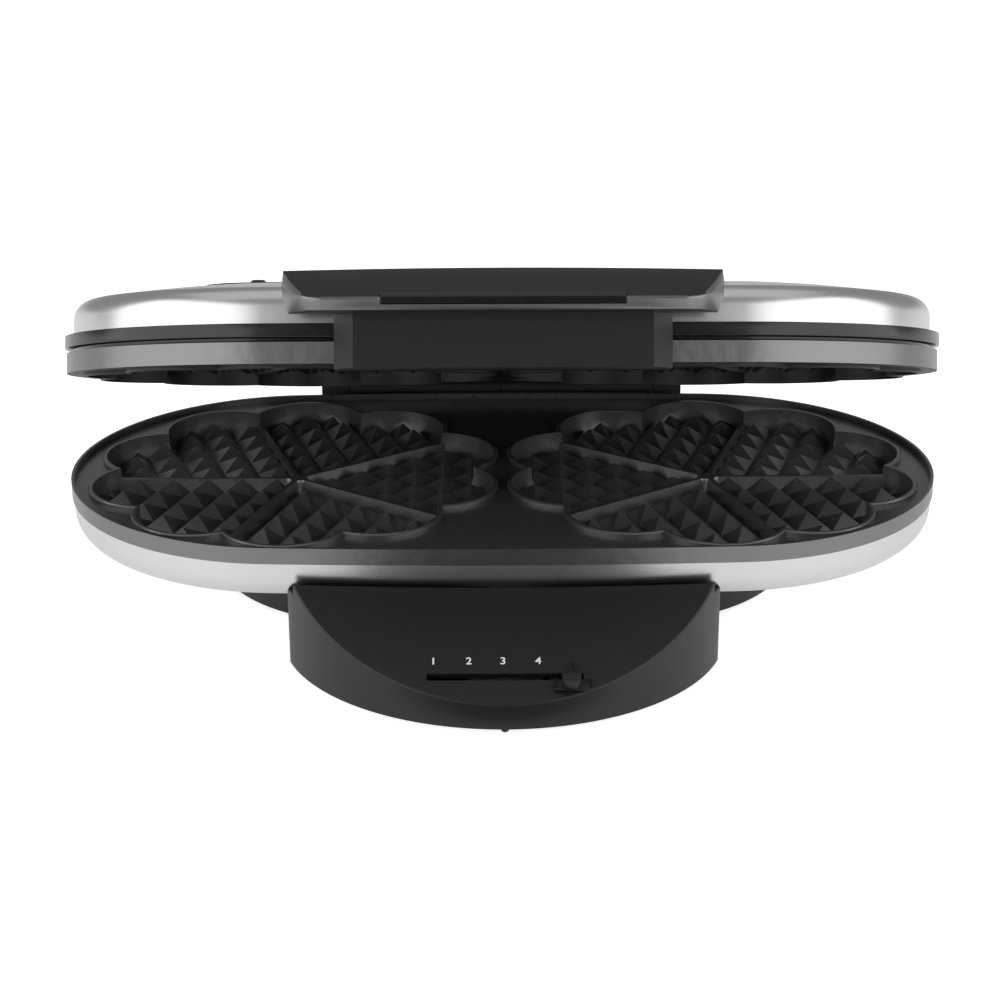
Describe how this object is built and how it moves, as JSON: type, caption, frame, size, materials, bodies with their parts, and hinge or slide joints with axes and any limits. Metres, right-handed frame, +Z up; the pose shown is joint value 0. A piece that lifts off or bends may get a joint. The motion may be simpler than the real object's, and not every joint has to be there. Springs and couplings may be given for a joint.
{
  "type": "double heart waffle maker",
  "caption": "Tabletop electric waffle maker with two round moulds of heart shapes, a hinged lid with a front grip, and a browning slider.",
  "frame": {"origin": "on the table under the middle of the whole object's box, as it stands with its lid part open", "axes": "+Z up, +X to the right seen from the front, +Y towards the hinge at the back"},
  "size_m": [0.3428, 0.246, 0.1484],
  "materials": {
    "coated_plate": "cast, dark non-stick coating",
    "brushed_shell": "brushed along the length",
    "black_plastic": "fine satin",
    "trim_black": "semi-gloss",
    "inner_sheet": "plain sheet",
    "heater_sheath": "dull",
    "screw_steel": "zinc plated",
    "foot_rubber": "matt",
    "switch_white": "satin",
    "red_lens": "clear red",
    "green_lens": "clear green"
  },
  "bodies": {
    "base": {"base_pan": "black_plastic", "base_screws": "screw_steel", "control_housing": "black_plastic", "cord_gland": "black_plastic", "front_peg": "black_plastic", "hinge_bracket_left": "black_plastic", "hinge_bracket_right": "black_plastic", "hinge_pins": "screw_steel", "housing_screws": "screw_steel", "lower_heater": "heater_sheath", "lower_heater_clamps": "inner_sheet", "lower_plate": "coated_plate", "lower_reflector": "inner_sheet", "lower_shell": "brushed_shell", "rubber_feet": "foot_rubber", "terminal_block": "switch_white", "thermal_fuse": "switch_white", "thermostat": "switch_white", "thermostat_bracket": "inner_sheet"},
    "lid": {"handle_bar": "black_plastic", "handle_block": "black_plastic", "handle_inlay": "trim_black", "handle_screws": "screw_steel", "hinge_arm_screws": "screw_steel", "indicator_lamps": "switch_white", "lamp_bezel": "trim_black", "lid_hinge_arm_left": "black_plastic", "lid_hinge_arm_right": "black_plastic", "lid_plate_screws": "screw_steel", "lid_shell": "brushed_shell", "lid_trim_ring": "trim_black", "power_lens": "red_lens", "ready_lens": "green_lens", "upper_heater": "heater_sheath", "upper_heater_clamps": "inner_sheet", "upper_plate": "coated_plate", "upper_reflector": "inner_sheet"},
    "slider": {"slider_knob": "black_plastic", "slider_carriage": "black_plastic"},
    "plunger": {"thermostat_plunger": "switch_white"}
  },
  "joints": [
    {"name": "lid_hinge", "type": "hinge", "parent": "base", "child": "lid", "pos_m": [0, 0.11705, 0.0487], "axis": [-1, 0, 0], "range_deg": [-20.35, 79.65]},
    {"name": "slider_slide", "type": "slide", "parent": "base", "child": "slider", "axis": [1, 0, 0], "range_m": [-0.049, 0]},
    {"name": "plunger_slide", "type": "slide", "parent": "base", "child": "plunger", "axis": [0, -0.4472, 0.8944], "range_m": [-0.0022, 0]}
  ],
  "couplings": [
    {"joint": "plunger_slide", "follows": "slider_slide", "ratio": 0.044898}
  ]
}
